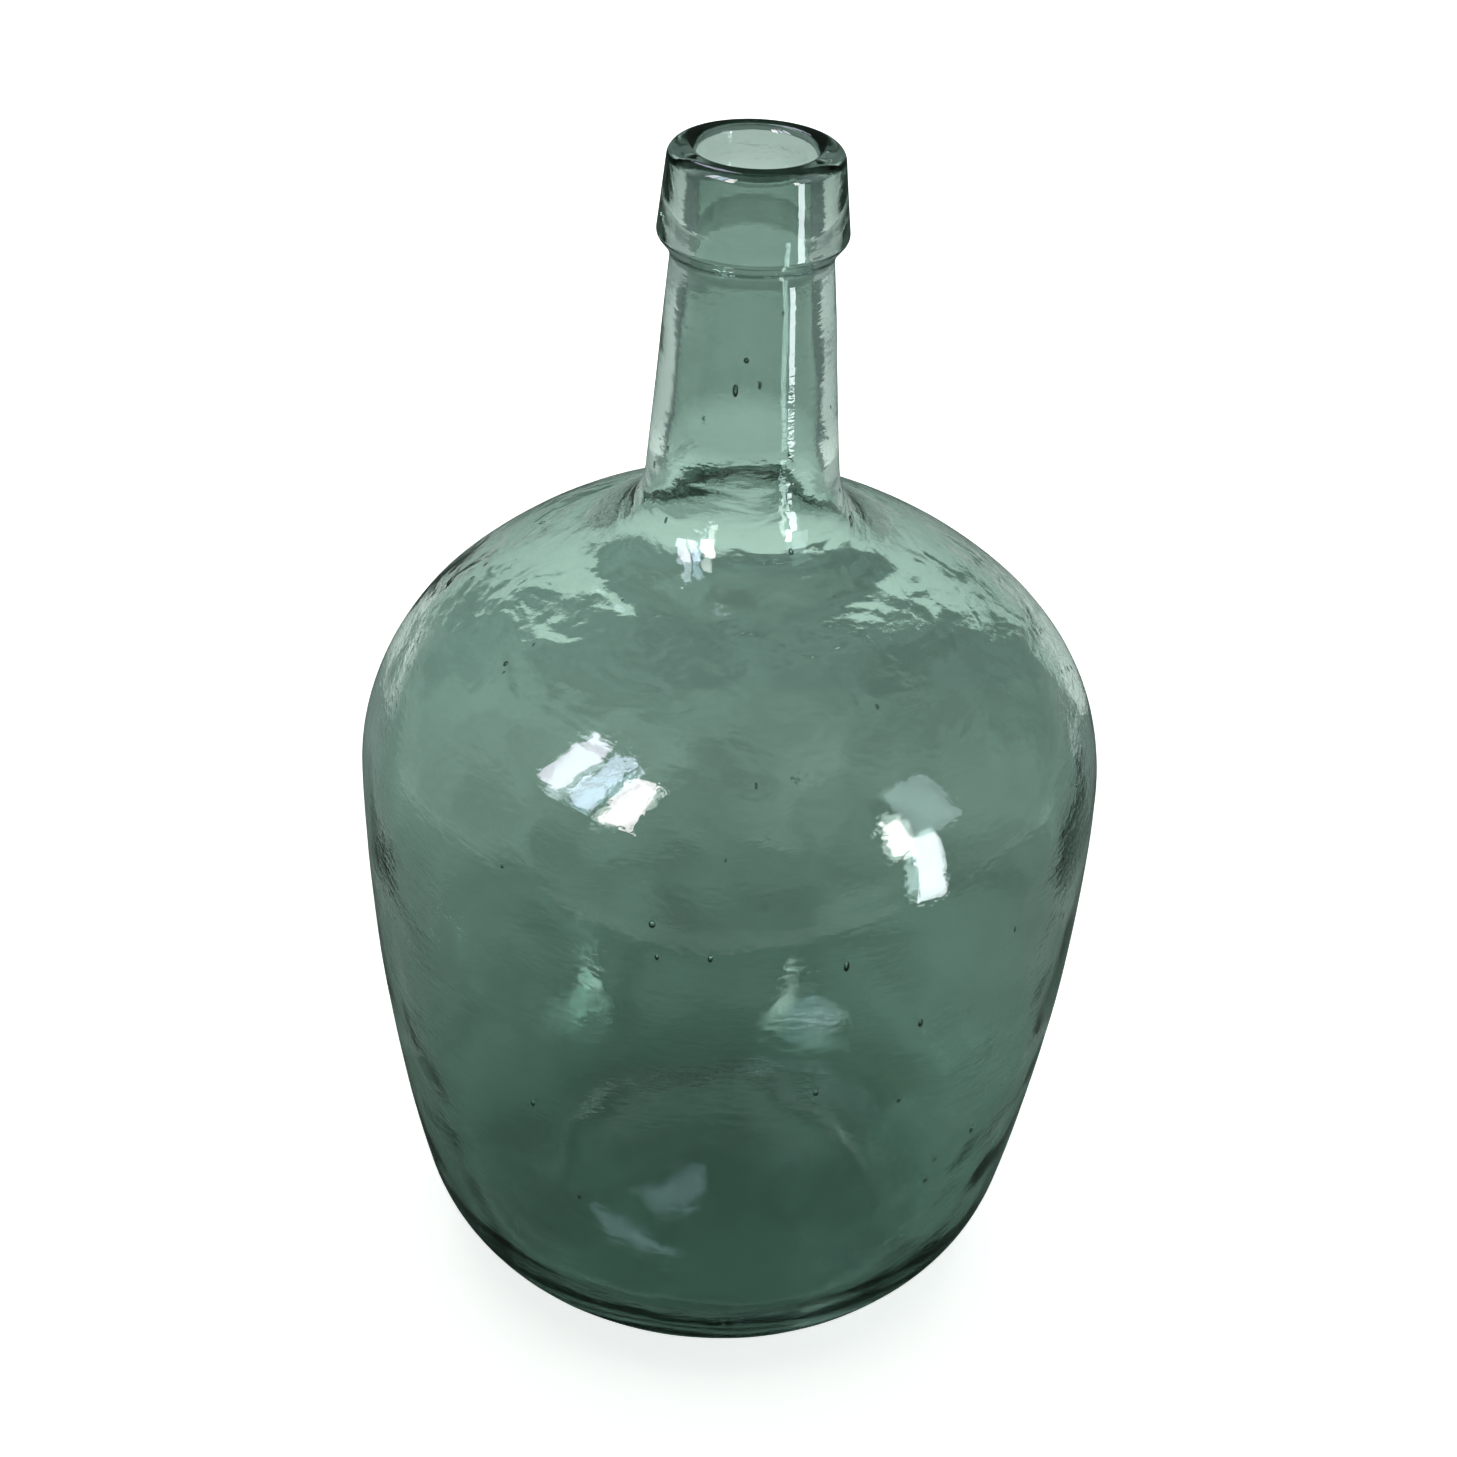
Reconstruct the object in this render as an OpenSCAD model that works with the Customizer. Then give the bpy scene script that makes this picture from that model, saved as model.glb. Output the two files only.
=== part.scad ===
// Five-litre glass demijohn, blown in a mould as one piece.
// The outside and the inside of the glass are each one outline of arcs that run into
// each other without a corner, and the two together are turned about Z.
// Z is up, and the origin is the centre of the resting ring.

/* [Body] */
// Outer diameter at the widest circle
body_d = 200; // [184:1:230]
// Height of the widest circle above the floor
belly_h = 156; // [140:1:165]
// Overall height
bottle_h = 329; // [318:1:350]
// Radius of the big heel curve below the wall
heel_r = 44.5; // [38:0.5:46]
// Radius of the round shoulder above the widest circle
shoulder_r = 59; // [54:0.5:64]
// How far the shoulder turns before the flatter crown takes over, in degrees
shoulder_turn = 47; // [43:1:52]
// Radius of the flatter crown that carries the neck
crown_r = 134; // [110:1:200]

/* [Base] */
// How far the flat ring that the bottle stands on lies in from the widest circle
ring_in = 42.2; // [40:0.2:50]
// Width of that flat ring
ring_w = 3.4; // [1:0.2:8]
// Radius of the tight curve from the ring up to the heel
toe_r = 15; // [8:0.5:20]
// How far that tight curve turns, in degrees
toe_turn = 31; // [24:1:40]
// Height of the push-up at the centre of the base
punt_h = 7; // [4:0.5:16]
// Radius of the curve from the ring into the push-up
punt_edge_r = 10; // [4:0.5:16]

/* [Neck] */
// Outer diameter of the neck just below the collar
neck_d = 40.4; // [38:0.1:43]
// How far each side of the neck leans out on its way down, in degrees
neck_lean = 4.6; // [2:0.1:7]
// Radius of the hollow curve between the crown and the neck
neck_curve_r = 20; // [12:0.5:26]

/* [Collar] */
// Diameter of the collar at its lower edge, its widest circle
collar_d = 47.8; // [45:0.1:54]
// Diameter of the collar at the top
collar_top_d = 43; // [38:0.1:46]
// Height of the collar band
collar_h = 22; // [14:0.5:28]
// Height of the slope from the neck out to the band
collar_slope_h = 4.6; // [3.5:0.1:9]
// Radius of the collar's rounded lower edge
collar_edge_r = 2.4; // [0.6:0.1:3]
// Radius of the hollow where that slope leaves the neck
collar_root_r = 6; // [2:0.5:8]
// Radius of the lip's outer edge
lip_r = 3.3; // [1:0.1:3.5]

/* [Inside] */
// Thickness of the wall from the heel up to the crown
wall = 3.2; // [2.4:0.1:5]
// Thickness of the glass under the lowest inside circle
base_wall = 5; // [4:0.1:9]
// Radius of the inside heel curve
heel_in_r = 38; // [32:0.5:40]
// Diameter of the straight bore that takes the stopper
bore_d = 29; // [25:0.1:31]
// Depth of the straight bore below the lip
bore_h = 27; // [15:0.5:40]
// Radius of the bore's rounded upper edge
bore_edge_r = 2.4; // [0.6:0.1:3]
// How far the inside of the neck leans out below the bore, in degrees
neck_in_lean = 5.5; // [4:0.1:7]
// Radius of the inside of the crown, smaller than outside, so the glass thickens to the neck
crown_in_r = 105; // [96:1:130]
// Radius of the inside curve between the neck and the crown
neck_curve_in_r = 36; // [26:0.5:42]

/* [Hidden] */
// Largest distance between an arc and the straight steps that draw it
arc_sag = 0.04;
turn_steps = 96;
glass_green = [0.50, 0.62, 0.55, 0.55];
belly_r = body_d / 2;
ring_r = belly_r - ring_in;
toe_c = [ring_r, toe_r];
heel_c = toe_c - (heel_r - toe_r) * dir(toe_turn - 90);
// The wall is the one arc that is upright at the widest circle and meets the heel
wall_r = joining_r(belly_r - heel_c.x, belly_h - heel_c.y, heel_r);
wall_c = [belly_r - wall_r, belly_h];
shoulder_c = [belly_r - shoulder_r, belly_h];
// The inside heel stands on the base and meets the inside of the wall
heel_in_up = belly_h - base_wall - heel_in_r;
heel_in_c = [wall_c.x + sqrt(pow(wall_r - wall - heel_in_r, 2) - pow(heel_in_up, 2)),
             base_wall + heel_in_r];
punt_edge_c = [ring_r - ring_w, punt_edge_r];
neck_top = [neck_d / 2, bottle_h - collar_h - collar_slope_h];
bore_end = [bore_d / 2, bottle_h - bore_h];

function dir(angle) = [cos(angle), sin(angle)];
function unit(v) = v / norm(v);
function angle_of(v) = atan2(v.y, v.x);

// Radius of an arc that is upright where it passes a point, and that meets a circle of
// radius r inside it, whose centre lies in and down from that point
function joining_r(in, down, r) = (in * in + down * down - r * r) / (2 * (in - r));

// Radius of a dome on the axis that rises by h above a circle of radius r at its rim,
// whose centre is at rim_x
function dome_r(rim_x, h, r) = (rim_x * rim_x + h * h) / (2 * h) - r;

function arc(c, r, from, to) =
    let (step = 2 * acos(1 - arc_sag / r), n = max(2, ceil(abs(to - from) / step)))
    [for (i = [0 : n]) c + r * dir(from + (to - from) * i / n)];

// A corner between two straight sides, as an arc that meets both
function rounded(before, corner, after, r) =
    let (u = unit(before - corner), v = unit(after - corner),
         half = acos(u * v) / 2,
         c = corner + unit(u + v) * r / sin(half),
         from = angle_of(u * r / tan(half) + corner - c),
         sweep = angle_of(v * r / tan(half) + corner - c) - from)
    arc(c, r, from, from + (sweep > 180 ? sweep - 360 : sweep < -180 ? sweep + 360 : sweep));

// Radius of the largest hollow curve that fits between the crown and a point of the neck's side,
// which lies at v from the crown's centre
function room_r(v, crown, lean) = (v * v - crown * crown) / (2 * (crown - v * dir(lean)));

// Centre of the hollow curve that meets the crown below it and the neck's side above it
function neck_curve_c(crown_c, crown, r, top, lean) =
    let (down = [sin(lean), -cos(lean)],
         start = top + r * dir(lean) - crown_c,
         along = start * down,
         reach = crown + r)
    crown_c + start - down * (along + sqrt(along * along - start * start + reach * reach));

// The side of the bottle from the heel up to the foot of the neck, moved in by inset
function side(inset, heel_from, heel_at, heel, crown, curve_r, top, lean) =
    let (heel_to = angle_of(heel_at - wall_c),
         crown_c = shoulder_c - (crown - shoulder_r + inset) * dir(shoulder_turn),
         curve = min(curve_r, room_r(top - crown_c, crown, lean)),
         curve_c = neck_curve_c(crown_c, crown, curve, top, lean),
         crown_to = angle_of(curve_c - crown_c))
    concat(arc(heel_at, heel, heel_from, heel_to),
           arc(wall_c, wall_r - inset, heel_to, 0),
           arc(shoulder_c, shoulder_r - inset, 0, shoulder_turn),
           arc(crown_c, crown, shoulder_turn, crown_to),
           arc(curve_c, curve, crown_to + 180, 180 + lean));

// A push-up from the axis out to the circle round edge_c that it runs into
function push_up_r(top, edge_c, edge_r) = dome_r(edge_c.x, top - edge_c.y + edge_r, edge_r);

function push_up_end(top, edge_c, edge_r) = angle_of(edge_c - [0, top - push_up_r(top, edge_c, edge_r)]);

function push_up(top, edge_c, edge_r) =
    let (r = push_up_r(top, edge_c, edge_r))
    arc([0, top - r], r, 90, push_up_end(top, edge_c, edge_r));

function collar_outline() =
    let (foot = neck_top + [tan(neck_lean), -1], edge = [collar_d / 2, bottle_h - collar_h],
         lip = [collar_top_d / 2, bottle_h], mouth = [bore_d / 2, bottle_h])
    concat(rounded(foot, neck_top, edge, collar_root_r),
           rounded(neck_top, edge, lip, collar_edge_r),
           rounded(edge, lip, mouth, lip_r),
           rounded(lip, mouth, bore_end, bore_edge_r));

function outside() =
    concat(push_up(punt_h, punt_edge_c, punt_edge_r),
           arc(punt_edge_c, punt_edge_r, push_up_end(punt_h, punt_edge_c, punt_edge_r) + 180, 270),
           arc(toe_c, toe_r, -90, toe_turn - 90),
           side(0, toe_turn - 90, heel_c, heel_r, crown_r, neck_curve_r, neck_top, neck_lean));

function inside() =
    concat(push_up(punt_h + base_wall, heel_in_c, heel_in_r),
           side(wall, push_up_end(punt_h + base_wall, heel_in_c, heel_in_r) - 180,
                heel_in_c, heel_in_r, crown_in_r, neck_curve_in_r, bore_end, neck_in_lean),
           [bore_end]);

function reversed(points) = [for (i = [len(points) - 1 : -1 : 0]) points[i]];

module bottle() {
    color(glass_green)
        rotate_extrude($fn = turn_steps)
            polygon(concat(outside(), collar_outline(), reversed(inside())));
}

bottle();
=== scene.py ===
import math
import random

import bpy
from mathutils import Matrix, Vector, noise


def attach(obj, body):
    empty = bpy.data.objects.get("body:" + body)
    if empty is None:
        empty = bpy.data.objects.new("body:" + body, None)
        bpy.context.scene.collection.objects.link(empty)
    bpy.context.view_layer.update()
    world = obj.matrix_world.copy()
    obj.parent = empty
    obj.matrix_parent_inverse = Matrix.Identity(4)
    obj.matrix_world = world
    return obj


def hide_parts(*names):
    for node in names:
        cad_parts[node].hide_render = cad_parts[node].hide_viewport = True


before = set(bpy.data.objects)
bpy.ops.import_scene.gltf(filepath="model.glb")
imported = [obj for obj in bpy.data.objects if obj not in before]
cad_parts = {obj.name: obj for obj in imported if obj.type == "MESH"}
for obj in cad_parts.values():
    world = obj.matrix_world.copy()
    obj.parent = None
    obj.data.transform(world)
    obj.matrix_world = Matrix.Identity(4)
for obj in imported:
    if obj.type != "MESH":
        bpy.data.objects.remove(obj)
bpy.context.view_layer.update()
mm = 0.001


# Small helpers


def toLinear(hexColour):
    channels = [int(hexColour[i:i + 2], 16) / 255 for i in (1, 3, 5)]
    return [c / 12.92 if c <= 0.04045 else ((c + 0.055) / 1.055) ** 2.4 for c in channels] + [1]


def addNode(tree, kind, settings={}, links={}):
    # A socket goes by its name, or by its number where names repeat: a mix has 0, 6 and 7
    node = tree.nodes.new(kind)
    for name, value in settings.items():
        if name == "stops":  # places in metres, with their colours
            elements = node.color_ramp.elements
            elements.remove(elements[1])
            elements[0].position, elements[0].color = value[0][0], toLinear(value[0][1])
            for at, colour in value[1:]:
                elements.new(at).color = toLinear(colour)
        elif isinstance(name, int) or name in node.inputs:
            node.inputs[name].default_value = value
        else:
            setattr(node, name, value)
    for name, socket in links.items():
        tree.links.new(socket, node.inputs[name])
    return node


def newMaterial(name):
    material = bpy.data.materials.new(name)
    material.use_nodes = True
    material.node_tree.nodes.clear()
    return material, material.node_tree


def addMesh(name, points, faces, material):
    mesh = bpy.data.meshes.new(name)
    mesh.from_pydata(points, [], faces)
    mesh.materials.append(material)
    mesh.polygons.foreach_set("use_smooth", [True] * len(mesh.polygons))
    piece = bpy.data.objects.new(name, mesh)
    bpy.context.collection.objects.link(piece)
    return piece


# The camera, which stands where the photograph was taken from

view = {
    "distance": 609.3,
    "height": 543.0,
    "pitch": 31.88,
    "yaw": -0.07,
    "roll": 2.51,
    "focalPixels": 2629.0,
    "photoPixels": 1457,
    "sensor": 36.0,
}


def addCamera():
    data = bpy.data.cameras.new("camera")
    data.sensor_width = view["sensor"]
    data.lens = view["focalPixels"] / view["photoPixels"] * view["sensor"]
    data.clip_start, data.clip_end = 0.01, 50
    camera = bpy.data.objects.new("camera", data)
    bpy.context.collection.objects.link(camera)
    camera.matrix_world = (
        Matrix.Translation((0, -view["distance"] * mm, view["height"] * mm))
        @ Matrix.Rotation(math.radians(-view["yaw"]), 4, "Z")
        @ Matrix.Rotation(math.radians(90 - view["pitch"]), 4, "X")
        @ Matrix.Rotation(math.radians(view["roll"]), 4, "Z")
    )
    bpy.context.scene.camera = camera


addCamera()
print("camera placed")


# The outline of the glass, in millimetres: the same arcs as the solid bottle has

form = {
    "bellyR": 100.0,
    "bellyH": 156.0,
    "height": 329.0,
    "heelR": 44.5,
    "shoulderR": 59.0,
    "shoulderTurn": 47.0,
    "crownR": 134.0,
    "ringIn": 42.2,
    "ringW": 3.4,
    "toeR": 15.0,
    "toeTurn": 31.0,
    "puntH": 7.0,
    "puntEdgeR": 10.0,
    "neckR": 20.2,
    "neckLean": 4.6,
    "neckCurveR": 20.0,
    "collarR": 23.9,
    "collarTopR": 21.5,
    "collarH": 22.0,
    "collarSlopeH": 4.6,
    "collarEdgeR": 2.4,
    "collarRootR": 6.0,
    "lipR": 3.3,
    "wall": 3.2,
    "baseWall": 5.0,
    "heelInR": 38.0,
    "boreR": 14.5,
    "boreH": 27.0,
    "boreEdgeR": 2.4,
    "neckInLean": 5.5,
    "neckCurveInR": 36.0,
    "crownInR": 105.0,
    "arcStep": 6.0,
    "longestStep": 2.2,
    "closest": 0.05,
}


def direction(angle):
    return Vector((math.cos(math.radians(angle)), math.sin(math.radians(angle))))


def angleOf(v):
    return math.degrees(math.atan2(v.y, v.x))


def arc(centre, r, start, end):
    steps = max(2, math.ceil(abs(end - start) / form["arcStep"]),
                math.ceil(math.radians(abs(end - start)) * r / form["longestStep"]))
    return [centre + r * direction(start + (end - start) * i / steps) for i in range(steps + 1)]


def line(start, end):
    steps = max(1, math.ceil((end - start).length / form["longestStep"]))
    return [start.lerp(end, i / steps) for i in range(steps + 1)]


def rounded(before, corner, after, r):
    u, v = (before - corner).normalized(), (after - corner).normalized()
    half = math.acos(u.dot(v)) / 2
    centre = corner + (u + v).normalized() * r / math.sin(half)
    start = angleOf(corner + u * r / math.tan(half) - centre)
    sweep = angleOf(corner + v * r / math.tan(half) - centre) - start
    sweep = (sweep + 180) % 360 - 180
    return arc(centre, r, start, start + sweep)


def domeR(rimX, h, r):
    return (rimX * rimX + h * h) / (2 * h) - r


def pushUp(top, edgeC, edgeR):
    r = domeR(edgeC.x, top - edgeC.y + edgeR, edgeR)
    centre = Vector((0, top - r))
    return arc(centre, r, 90, angleOf(edgeC - centre)), angleOf(edgeC - centre)


def bottleOutline():
    f = form
    ringR = f["bellyR"] - f["ringIn"]
    toeC = Vector((ringR, f["toeR"]))
    heelC = toeC - (f["heelR"] - f["toeR"]) * direction(f["toeTurn"] - 90)
    across, down = f["bellyR"] - heelC.x, f["bellyH"] - heelC.y
    wallR = (across ** 2 + down ** 2 - f["heelR"] ** 2) / (2 * (across - f["heelR"]))
    wallC = Vector((f["bellyR"] - wallR, f["bellyH"]))
    shoulderC = Vector((f["bellyR"] - f["shoulderR"], f["bellyH"]))
    inUp = f["bellyH"] - f["baseWall"] - f["heelInR"]
    inReach = wallR - f["wall"] - f["heelInR"]
    heelInC = Vector((wallC.x + math.sqrt(inReach ** 2 - inUp ** 2), f["baseWall"] + f["heelInR"]))
    puntEdgeC = Vector((ringR - f["ringW"], f["puntEdgeR"]))
    neckTop = Vector((f["neckR"], f["height"] - f["collarH"] - f["collarSlopeH"]))
    boreEnd = Vector((f["boreR"], f["height"] - f["boreH"]))

    def side(inset, start, heelAt, heelR, crownR, curveR, top, lean):
        crownC = shoulderC - (crownR - f["shoulderR"] + inset) * direction(f["shoulderTurn"])
        downNeck = Vector((math.sin(math.radians(lean)), -math.cos(math.radians(lean))))
        begin = top + curveR * direction(lean) - crownC
        along, reach = begin.dot(downNeck), crownR + curveR
        slide = along + math.sqrt(along ** 2 - begin.dot(begin) + reach ** 2)
        curveC = crownC + begin - downNeck * slide
        heelTo, crownTo = angleOf(heelAt - wallC), angleOf(curveC - crownC)
        return (arc(heelAt, heelR, start, heelTo)
                + arc(wallC, wallR - inset, heelTo, 0)
                + arc(shoulderC, f["shoulderR"] - inset, 0, f["shoulderTurn"])
                + arc(crownC, crownR, f["shoulderTurn"], crownTo)
                + arc(curveC, curveR, crownTo + 180, 180 + lean))

    punt, puntTo = pushUp(f["puntH"], puntEdgeC, f["puntEdgeR"])
    outside = (punt + arc(puntEdgeC, f["puntEdgeR"], puntTo + 180, 270)
               + arc(toeC, f["toeR"], -90, f["toeTurn"] - 90)
               + side(0, f["toeTurn"] - 90, heelC, f["heelR"], f["crownR"], f["neckCurveR"], neckTop,
                      f["neckLean"]))
    leanOut = Vector((math.tan(math.radians(f["neckLean"])), -1))
    edge = Vector((f["collarR"], f["height"] - f["collarH"]))
    lip = Vector((f["collarTopR"], f["height"]))
    mouth = Vector((f["boreR"], f["height"]))
    corners = [rounded(neckTop + leanOut, neckTop, edge, f["collarRootR"]),
               rounded(neckTop, edge, lip, f["collarEdgeR"]),
               rounded(edge, lip, mouth, f["lipR"]),
               rounded(lip, mouth, boreEnd, f["boreEdgeR"])]
    for corner in corners:
        outside += line(outside[-1], corner[0]) + corner
    innerPunt, innerTo = pushUp(f["puntH"] + f["baseWall"], heelInC, f["heelInR"])
    inside = innerPunt + side(f["wall"], innerTo - 180, heelInC, f["heelInR"], f["crownInR"],
                              f["neckCurveInR"], boreEnd, f["neckInLean"])
    inside += line(inside[-1], boreEnd) + line(boreEnd, outside[-1])[:-1]
    return withoutRepeats(outside), withoutRepeats(inside[::-1])


def withoutRepeats(points):
    kept = [points[0]]
    for point in points[1:]:
        if (point - kept[-1]).length > form["closest"]:
            kept.append(point)
    return kept


# The glass: the outline turned round, with the slow waves that blown glass has, and seeds

glass = {
    "turns": 192,
    "outerWave": 0.22,
    "innerWave": 0.6,
    "waveLength": 34.0,
    "rippleLength": 13.0,
    "rippleShare": 0.3,
    "calmAbove": 296.0,
    "calmFade": 30.0,
    "calmBelow": 4.0,
    "calmFoot": 0.2,
    "outerSeed": 3.7,
    "innerSeed": 11.3,
    "heelWave": 2.1,
    "heelWaveBelow": 130.0,
    "tints": [(0.251, "#ccdfd7"), (0.258, "#a5b8b1"), (0.299, "#a7bab3"), (0.304, "#c4d5ce"),
              (0.313, "#b2c5bd"), (0.321, "#95a9a1")],  # by height: darker along the neck and toward the lip, lighter below the neck and at the collar's foot
    "roughness": 0.0,
    "ior": 1.5,
    "absorb": "#9fb3a9",
    "density": 20.0,
    "streakLength": 16.0,
    "streakFlatter": 2.2,
    "streakDetail": 1.5,
    "streakTwist": 0.8,
    "streakHeight": 0.32,
    "wallStreaks": 0.15,
    "streaksFrom": 185.0,
    "streaksTo": 212.0,
    "neckFoot": 243.0,
    "neckCalm": 262.0,
    "neckStreaks": 0.2,
    "bumpLength": 3.2,
    "bumpDetail": 3.0,
    "bumpHeight": 0.04,
}


def wave(point, seed):
    long = noise.noise(point / glass["waveLength"] + Vector((seed, 0, 0)))
    short = noise.noise(point / glass["rippleLength"] + Vector((0, seed, 0)))
    return long + glass["rippleShare"] * short


def calm(height):
    top = min(1, max(0, (glass["calmAbove"] + glass["calmFade"] - height) / glass["calmFade"]))
    bottom = min(1, max(0, height / glass["calmBelow"] - glass["calmFoot"]))
    return top * bottom


def heavier(height):
    low = min(1, max(0, 1 - height / glass["heelWaveBelow"]))
    return 1 + (glass["heelWave"] - 1) * math.sin(low * math.pi) ** 2  # thick, uneven glass above the base


def turnedPoints(outline, height, seed, uneven):
    points = []
    for i, point in enumerate(outline):
        before, after = outline[max(i - 1, 0)], outline[min(i + 1, len(outline) - 1)]
        along = (after - before).normalized()
        out = Vector((along.y, -along.x))
        if point.x < 0.01:
            points.append([Vector((0, 0, point.y)) * mm])
            continue
        ring = []
        for turn in range(glass["turns"]):
            angle = 2 * math.pi * turn / glass["turns"]
            at = Vector((math.cos(angle) * point.x, math.sin(angle) * point.x, point.y))
            push = height * calm(point.y) * uneven(point.y) * wave(at, seed)
            normal = Vector((math.cos(angle) * out.x, math.sin(angle) * out.x, out.y))
            ring.append((at + normal * push) * mm)
        points.append(ring)
    return points


def stitch(rings):
    points, starts = [], []
    for ring in rings:
        starts.append(len(points))
        points += ring
    faces, n = [], glass["turns"]
    for i in range(len(rings) - 1):
        low, high = starts[i], starts[i + 1]
        for j in range(n):
            k = (j + 1) % n
            if len(rings[i]) == 1:
                faces.append((low, high + k, high + j))
            elif len(rings[i + 1]) == 1:
                faces.append((low + j, low + k, high))
            else:
                faces.append((low + j, low + k, high + k, high + j))
    return points, faces


seeds = {
    "placed": [(31, 132, 2.6), (47, 81, 3.0), (38, 70, 2.2), (15, 116, 2.4), (18, 156, 3.2), (-1.5, 160, 2.2),
               (-9, 159, 1.8), (29, 107, 1.8), (-29, 100, 2.0), (-7, 274.5, 3.4), (-52, 206, 1.0),
               (-51, 212, 1.1), (-39, 223, 0.9)],
    "scattered": 70,
    "lengths": (0.7, 2.2),
    "heights": (30.0, 290.0),
    "slimness": 0.6,
    "widest": 0.75,
    "roundness": (0.6, 1.6),
    "depth": 0.36,
    "draw": 41,
    "turns": 10,
    "rows": 6,
    "narrowest": 14,
    "baseR": 60,
}


def radiusAt(outline, height):
    # Radius and lean of the side wall at a height, which leaves out the push-up inside the base
    for low, high in zip(outline, outline[1:]):
        if min(low.y, high.y) <= height <= max(low.y, high.y) and max(low.x, high.x) > seeds["narrowest"]:
            share = (height - low.y) / (high.y - low.y) if high.y != low.y else 0
            if low.x > seeds["baseR"] or height > seeds["baseR"]:
                return low.x + (high.x - low.x) * share, math.atan2(high.x - low.x, high.y - low.y)
    return None


def addSeeds(points, faces, outside, inside):
    # Air bubbles in the wall, drawn out as the glass was blown: closed skins that face inward
    draw = random.Random(seeds["draw"])
    places = [(math.radians(turn), height, long, long) for turn, height, long in seeds["placed"]]
    for _ in range(seeds["scattered"]):
        long = draw.uniform(*seeds["lengths"])
        places.append((draw.uniform(-math.pi, math.pi), draw.uniform(*seeds["heights"]), long,
                       long * draw.uniform(*seeds["roundness"])))
    for turn, height, long, across in places:
        outer, inner = radiusAt(outside, height), radiusAt(inside[::-1], height)
        if not outer or not inner:
            continue
        lean = outer[1]
        middle = outer[0] - math.cos(lean) * form["wall"] * seeds["depth"]
        up = Vector((math.sin(lean), math.cos(lean)))
        tall, wide = long / 2, min(long * seeds["slimness"], seeds["widest"] * 2) / 2
        start = len(points)
        side = Vector((math.cos(turn), math.sin(turn), 0))
        outward = Vector((math.sin(turn), -math.cos(turn), 0))
        centre = outward * middle + Vector((0, 0, height + form["wall"] * seeds["depth"] * math.sin(lean)))
        along = outward * up.x + Vector((0, 0, up.y))
        through = along.cross(side)
        rows, turns = seeds["rows"], seeds["turns"]
        points.append((centre - along * tall) * mm)
        for row in range(1, rows):
            angle = math.pi * row / rows - math.pi / 2
            for step in range(turns):
                spin = 2 * math.pi * step / turns
                offset = side * math.cos(spin) * across / long * wide + through * math.sin(spin) * wide
                points.append((centre + along * tall * math.sin(angle) + offset * math.cos(angle)) * mm)
        points.append((centre + along * tall) * mm)
        for step in range(turns):
            after = (step + 1) % turns
            faces.append((start, start + 1 + step, start + 1 + after))
            for row in range(rows - 2):
                low = start + 1 + row * turns
                faces.append((low + step, low + turns + step, low + turns + after, low + after))
            last = start + 1 + (rows - 2) * turns
            faces.append((last + step, len(points) - 1, last + after))


def glassMaterial():
    # Blown bottle glass: clear, pale green through its thickness, with a slightly uneven skin that
    # is streaky round the shoulder and at the foot of the neck, where it was drawn out
    g = glass
    material, tree = newMaterial("blown bottle glass")
    place = addNode(tree, "ShaderNodeTexCoord").outputs["Object"]
    height = addNode(tree, "ShaderNodeSeparateXYZ", links={0: place}).outputs["Z"]
    flow = addNode(tree, "ShaderNodeMapping", {"Scale": (1, 1, g["streakFlatter"])}, {"Vector": place})
    streaks = addNode(tree, "ShaderNodeTexNoise",
                      {"Scale": 1 / (g["streakLength"] * mm), "Detail": g["streakDetail"],
                       "Distortion": g["streakTwist"]}, {"Vector": flow.outputs[0]})
    shoulder = addNode(tree, "ShaderNodeMapRange",
                       {"From Min": g["streaksFrom"] * mm, "From Max": g["streaksTo"] * mm,
                        "To Min": g["wallStreaks"]}, {"Value": height})
    neck = addNode(tree, "ShaderNodeMapRange",
                   {"From Min": g["neckFoot"] * mm, "From Max": g["neckCalm"] * mm,
                    "To Min": 1, "To Max": g["neckStreaks"]}, {"Value": height})
    strength = addNode(tree, "ShaderNodeMath", {"operation": "MULTIPLY"},
                       {0: shoulder.outputs[0], 1: neck.outputs[0]})
    streaky = addNode(tree, "ShaderNodeBump", {"Distance": g["streakHeight"] * mm},
                      {"Height": streaks.outputs["Fac"], "Strength": strength.outputs[0]})
    ripple = addNode(tree, "ShaderNodeTexNoise",
                     {"Scale": 1 / (g["bumpLength"] * mm), "Detail": g["bumpDetail"]},
                     {"Vector": flow.outputs[0]})
    rippled = addNode(tree, "ShaderNodeBump", {"Strength": 1.0, "Distance": g["bumpHeight"] * mm},
                      {"Height": ripple.outputs["Fac"], "Normal": streaky.outputs[0]})
    tint = addNode(tree, "ShaderNodeValToRGB", {"stops": g["tints"]}, {0: height})
    skin = addNode(tree, "ShaderNodeBsdfPrincipled",
                   {"Roughness": g["roughness"], "IOR": g["ior"], "Transmission Weight": 1.0},
                   {"Base Color": tint.outputs["Color"], "Normal": rippled.outputs["Normal"]})
    body = addNode(tree, "ShaderNodeVolumeAbsorption",
                   {"Color": toLinear(g["absorb"]), "Density": g["density"]})
    addNode(tree, "ShaderNodeOutputMaterial", links={"Surface": skin.outputs[0], "Volume": body.outputs[0]})
    return material


def makeBottle():
    outside, inside = bottleOutline()
    rings = (turnedPoints(outside, glass["outerWave"], glass["outerSeed"], lambda height: 1)
             + turnedPoints(inside, glass["innerWave"], glass["innerSeed"], heavier))
    points, faces = stitch(rings)
    addSeeds(points, faces, outside, inside)
    bottle = addMesh("glass_bottle", points, faces, glassMaterial())
    print("bottle made:", len(points), "points")
    return bottle


bottle = makeBottle()
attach(bottle, "root")
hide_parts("bottle")


# The studio: white paper, a dim room, a soft light from above, and windows that show in the glass

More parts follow.
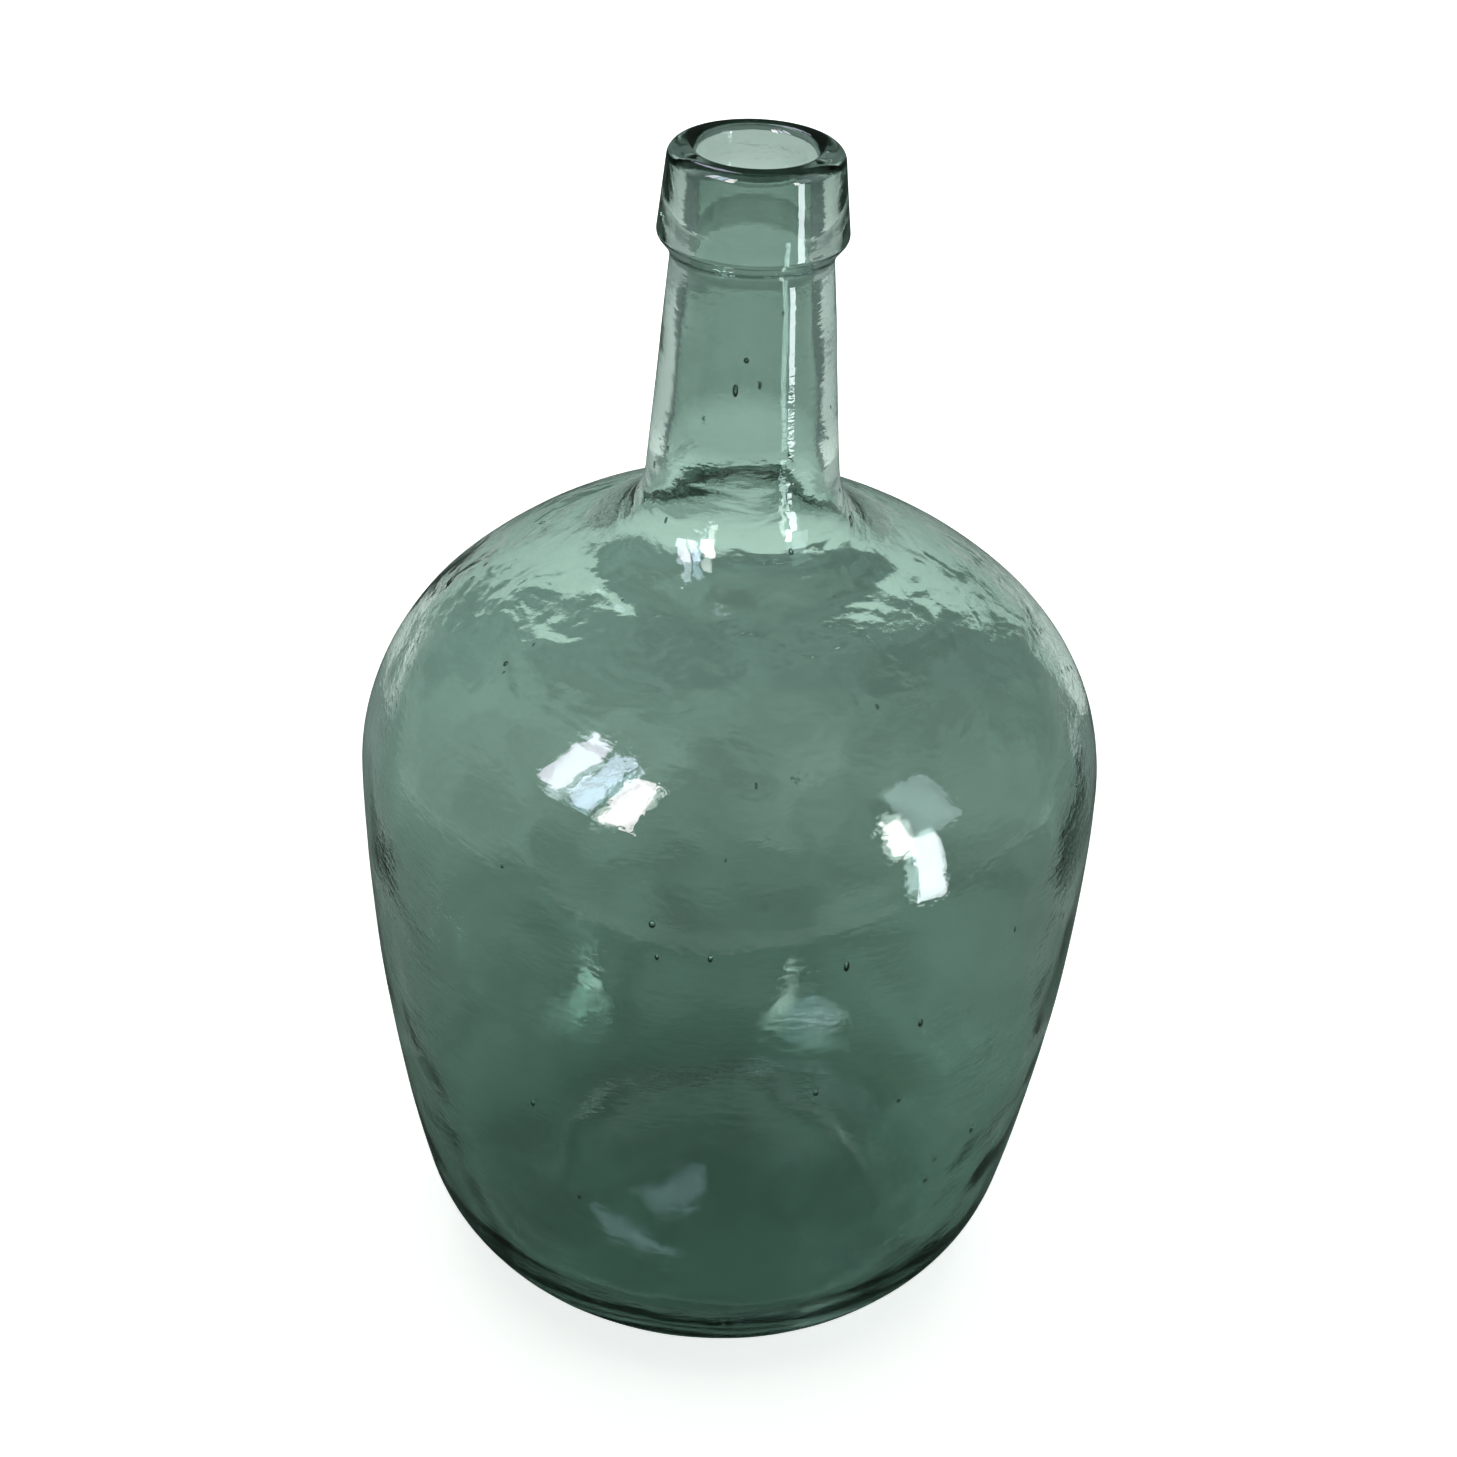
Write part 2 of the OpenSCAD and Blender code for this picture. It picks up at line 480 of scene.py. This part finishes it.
studio = {
    "sweepWidth": 6.0,
    "sweepFront": -3.0,
    "sweepBack": 1.6,
    "sweepBend": 0.5,
    "bendSteps": 12,
    "sweepHeight": 2.0,
    "paper": "#f4f4f2",
    "whiteNear": 0.74,  # less white by the bottle, so that its shadow stays
    "shadowReach": 0.2,
    "whiteFrom": 0.6,
    # The paper as reflections show it, a darker green-grey than it is: a painted reflection
    "paperPaintedReflection": "#5c6a63",
    "roomMirrored": "#66746d",
    "roomThrough": "#a8b4ae",
    "topLightSize": 2.4,
    "topLightPower": 30,
    "topLightPlace": (0, 0.3, 2.6),
}

tableRoom = {
    "strength": 1.36,
    "tableWidth": 1.7,
    "tableDepth": 0.84,
    "edgeBlur": 0.01,
    "tableAndPaintedShadowColours": [(0.0, "#3b4f48"), (0.06, "#42564e"), (0.1, "#61736c"), (0.14, "#6f7c78"),
                     (0.25, "#999f9d"), (0.34, "#889090")],  # by distance from the bottle, darker close to it: a painted shadow of the bottle
    "stainSize": 0.045,
    "stainDetail": 2.5,
    "stainTwist": 1.2,
    "stainNoise": (0.3, 0.7),
    "stainShades": (0.78, 1.24),
    "paintedLightPools": [(-0.18, 0.35, 0.24, 1.7), (0.1, 0.05, 0.1, 1.6)],  # painted pools of light on the table: x, y, reach and gain
    "strip": "#ffffff",
    "stripDepth": 0.36,
    "stripHalfBehind": 0.57,
    "stripHalfAside": 0.36,
    "stripBlur": 0.06,
    "farRoom": "#c8cbcb",
    "fadeFrom": 0.12,
    "fadeTo": 0.5,
}


def addTableRoom(tree, place, away):
    # What the glass shows of the floor, as in the photograph, as a glow: a stained grey table with a painted
    # shadow of the bottle close to it and painted pools of light on it, a bright strip of the room past its
    # straight edges, and a duller room beyond it
    t = tableRoom
    axes = addNode(tree, "ShaderNodeSeparateXYZ", links={0: place})
    aside, behind = [addNode(tree, "ShaderNodeMath", {"operation": "ABSOLUTE"}, {0: axes.outputs[name]})
                     for name in "XY"]
    strips, rooms = [], []
    for across, along, edge, reach in ((aside, behind, t["tableWidth"] / 2, t["stripHalfAside"]),
                                       (behind, aside, t["tableDepth"] / 2, t["stripHalfBehind"])):
        past = addNode(tree, "ShaderNodeMapRange", {"From Min": edge, "From Max": edge + t["edgeBlur"]},
                       {"Value": across.outputs[0]})
        inLine = addNode(tree, "ShaderNodeMapRange", {"From Min": reach + t["stripBlur"], "From Max": reach},
                         {"Value": along.outputs[0]})
        strips.append(addNode(tree, "ShaderNodeMath", {"operation": "MULTIPLY"},
                              {0: past.outputs[0], 1: inLine.outputs[0]}))
        far = edge + t["stripDepth"]
        rooms.append(addNode(tree, "ShaderNodeMapRange", {"From Min": far, "From Max": far + t["stripBlur"]},
                             {"Value": across.outputs[0]}))
    low = addNode(tree, "ShaderNodeMapRange", {"From Min": t["fadeTo"], "From Max": t["fadeFrom"]},
                  {"Value": axes.outputs["Z"]})
    zones = []
    for either in (strips, rooms):
        joined = addNode(tree, "ShaderNodeMath", {"operation": "MAXIMUM"},
                         {0: either[0].outputs[0], 1: either[1].outputs[0]})
        zones.append(addNode(tree, "ShaderNodeMath", {"operation": "MULTIPLY"},
                             {0: joined.outputs[0], 1: low.outputs[0]}))

    # Darker close to the bottle: a painted shadow of the bottle on the table's glow
    tableAndPaintedShadow = addNode(tree, "ShaderNodeValToRGB", {"stops": t["tableAndPaintedShadowColours"]}, {0: away})
    stains = addNode(tree, "ShaderNodeTexNoise", {"Scale": 1 / t["stainSize"], "Detail": t["stainDetail"],
                                                  "Distortion": t["stainTwist"]}, {"Vector": place})
    shade = addNode(tree, "ShaderNodeMapRange",
                    {"From Min": t["stainNoise"][0], "From Max": t["stainNoise"][1],
                     "To Min": t["stainShades"][0], "To Max": t["stainShades"][1]},
                    {"Value": stains.outputs["Fac"]})
    # Painted pools of light: the table's glow is raised around each point
    for x, y, reach, gain in t["paintedLightPools"]:
        off = addNode(tree, "ShaderNodeVectorMath", {"operation": "DISTANCE", 1: (x, y, 0)}, {0: place})
        paintedPoolLift = addNode(tree, "ShaderNodeMapRange",
                       {"interpolation_type": "SMOOTHSTEP", "From Min": reach, "From Max": 0,
                        "To Min": 1, "To Max": gain}, {"Value": off.outputs["Value"]})
        shade = addNode(tree, "ShaderNodeMath", {"operation": "MULTIPLY"},
                        {0: shade.outputs[0], 1: paintedPoolLift.outputs[0]})
    top = addNode(tree, "ShaderNodeVectorMath", {"operation": "SCALE"},
                  {0: tableAndPaintedShadow.outputs["Color"], "Scale": shade.outputs[0]})
    withStrip = addNode(tree, "ShaderNodeMix", {"data_type": "RGBA", 7: toLinear(t["strip"])},
                        {0: zones[0].outputs[0], 6: top.outputs[0]})
    withRoom = addNode(tree, "ShaderNodeMix", {"data_type": "RGBA", 7: toLinear(t["farRoom"])},
                       {0: zones[1].outputs[0], 6: withStrip.outputs["Result"]})
    return addNode(tree, "ShaderNodeEmission", {"Strength": t["strength"]},
                   {"Color": withRoom.outputs["Result"]})


def sweepMaterial():
    # White paper: matt, and pure white to the camera away from the bottle's shadow. A ray that has
    # passed clear glass is glossy too, so what is only mirrored is glossy less transmitted.
    material, tree = newMaterial("white paper sweep")
    ray = addNode(tree, "ShaderNodeLightPath")
    through = ray.outputs["Is Transmission Ray"]
    mirrored = addNode(tree, "ShaderNodeMath", {"operation": "SUBTRACT", "use_clamp": True},
                       {0: ray.outputs["Is Glossy Ray"], 1: through})
    # In reflections the paper shows darker green-grey: a painted reflection
    colour = addNode(tree, "ShaderNodeMix", {"data_type": "RGBA", 6: toLinear(studio["paper"]),
                                             7: toLinear(studio["paperPaintedReflection"])}, {0: mirrored.outputs[0]})
    paper = addNode(tree, "ShaderNodeBsdfDiffuse", links={"Color": colour.outputs["Result"]})
    place = addNode(tree, "ShaderNodeTexCoord").outputs["Object"]
    away = addNode(tree, "ShaderNodeVectorMath", {"operation": "LENGTH"}, {0: place}).outputs["Value"]
    white = addNode(tree, "ShaderNodeMapRange",
                    {"From Min": studio["shadowReach"], "From Max": studio["whiteFrom"],
                     "To Min": studio["whiteNear"]}, {"Value": away})
    whiteSeen = addNode(tree, "ShaderNodeMath", {"operation": "MULTIPLY"},
                        {0: white.outputs[0], 1: ray.outputs["Is Camera Ray"]})
    direct = addNode(tree, "ShaderNodeEmission", links={"Strength": whiteSeen.outputs[0]})
    paperAndWhite = addNode(tree, "ShaderNodeAddShader", links={0: paper.outputs[0], 1: direct.outputs[0]})
    seen = addTableRoom(tree, place, away)
    both = addNode(tree, "ShaderNodeMixShader", links={0: through, 1: paperAndWhite.outputs[0],
                                                       2: seen.outputs[0]})
    addNode(tree, "ShaderNodeOutputMaterial", links={"Surface": both.outputs[0]})
    return material


def makeSweep():
    bend, back, steps = studio["sweepBend"], studio["sweepBack"], studio["bendSteps"]
    path = [(studio["sweepFront"], 0)]
    for i in range(steps + 1):
        angle = math.pi / 2 * i / steps
        path.append((back - bend + bend * math.sin(angle), bend - bend * math.cos(angle)))
    path.append((back, studio["sweepHeight"]))
    half = studio["sweepWidth"] / 2
    points = [(x, y, z) for y, z in path for x in (-half, half)]
    faces = [(2 * i, 2 * i + 1, 2 * i + 3, 2 * i + 2) for i in range(len(path) - 1)]
    addMesh("floor", points, faces, sweepMaterial())


# Each window: bearing from the camera's side in degrees, distance, lower and upper edge and width in
# metres, radiance, and colour
windows = {
    "left window pane one": (-63, 1.3, 0.95, 2.1, 0.28, 13, "#f3ecff"),
    "left window pane two": (-49, 1.3, 0.95, 2.1, 0.22, 12, "#d9e6ff"),
    "left window pane three": (-35, 1.3, 0.85, 1.9, 0.26, 16, "#fff4f8"),
    "right window": (53, 1.6, 0.5, 1.0, 0.18, 17, "#ffffff"),
    "right window side pane": (66, 1.6, 0.6, 1.5, 0.5, 2.6, "#e2fbff"),
    "narrow right window": (58, 0.82, 0.01, 0.4, 0.12, 15, "#f0fbff"),
    "back window": (-162, 0.8, 1.0, 1.8, 0.26, 6, "#d3cdea"),
}


def addLamp(name, width, depth, power, place):
    data = bpy.data.lights.new(name, "AREA")
    data.shape = "RECTANGLE"
    data.size, data.size_y = width, depth
    data.energy = power
    lamp = bpy.data.objects.new(name, data)
    lamp.location = place
    bpy.context.collection.objects.link(lamp)
    return lamp


def addWindow(name, bearing, distance, low, high, width, radiance, colour):
    # An upright lamp that only mirrors and glass show, so that it doesn't light the floor
    angle = math.radians(bearing)
    place = (math.sin(angle) * distance, -math.cos(angle) * distance, (low + high) / 2)
    lamp = addLamp(name, width, high - low, radiance * math.pi * width * (high - low), place)
    lamp.data.color = toLinear(colour)[:3]
    aim = Vector((-place[0], -place[1], 0))
    lamp.rotation_euler = aim.to_track_quat("-Z", "Y").to_euler()
    lamp.visible_diffuse = False


def addTopLight():
    size = studio["topLightSize"]
    lamp = addLamp("soft top light", size, size, studio["topLightPower"], studio["topLightPlace"])
    lamp.visible_glossy = False
    lamp.visible_transmission = False


def makeWorld():
    world = bpy.data.worlds.new("dim room")
    world.use_nodes = True
    tree = world.node_tree
    tree.nodes.clear()
    ray = addNode(tree, "ShaderNodeLightPath")
    colour = addNode(tree, "ShaderNodeMix", {"data_type": "RGBA", 6: toLinear(studio["roomMirrored"]),
                                             7: toLinear(studio["roomThrough"])},
                     {0: ray.outputs["Is Transmission Ray"]})
    room = addNode(tree, "ShaderNodeBackground", links={"Color": colour.outputs["Result"]})
    white = addNode(tree, "ShaderNodeBackground", {"Color": toLinear("#ffffff")})
    both = addNode(tree, "ShaderNodeMixShader", links={0: ray.outputs["Is Camera Ray"], 1: room.outputs[0],
                                                       2: white.outputs[0]})
    addNode(tree, "ShaderNodeOutputWorld", links={"Surface": both.outputs[0]})
    bpy.context.scene.world = world


makeSweep()
makeWorld()
addTopLight()
for name, values in windows.items():
    addWindow(name, *values)
print("studio made:", len(windows), "windows")

bpy.context.scene.view_settings.view_transform = "Standard"
# Light runs a long way round in the thick rim and base before it comes out
longestPath = 20
bpy.context.scene.cycles.max_bounces = longestPath
bpy.context.scene.cycles.glossy_bounces = longestPath
bpy.context.scene.cycles.transmission_bounces = longestPath
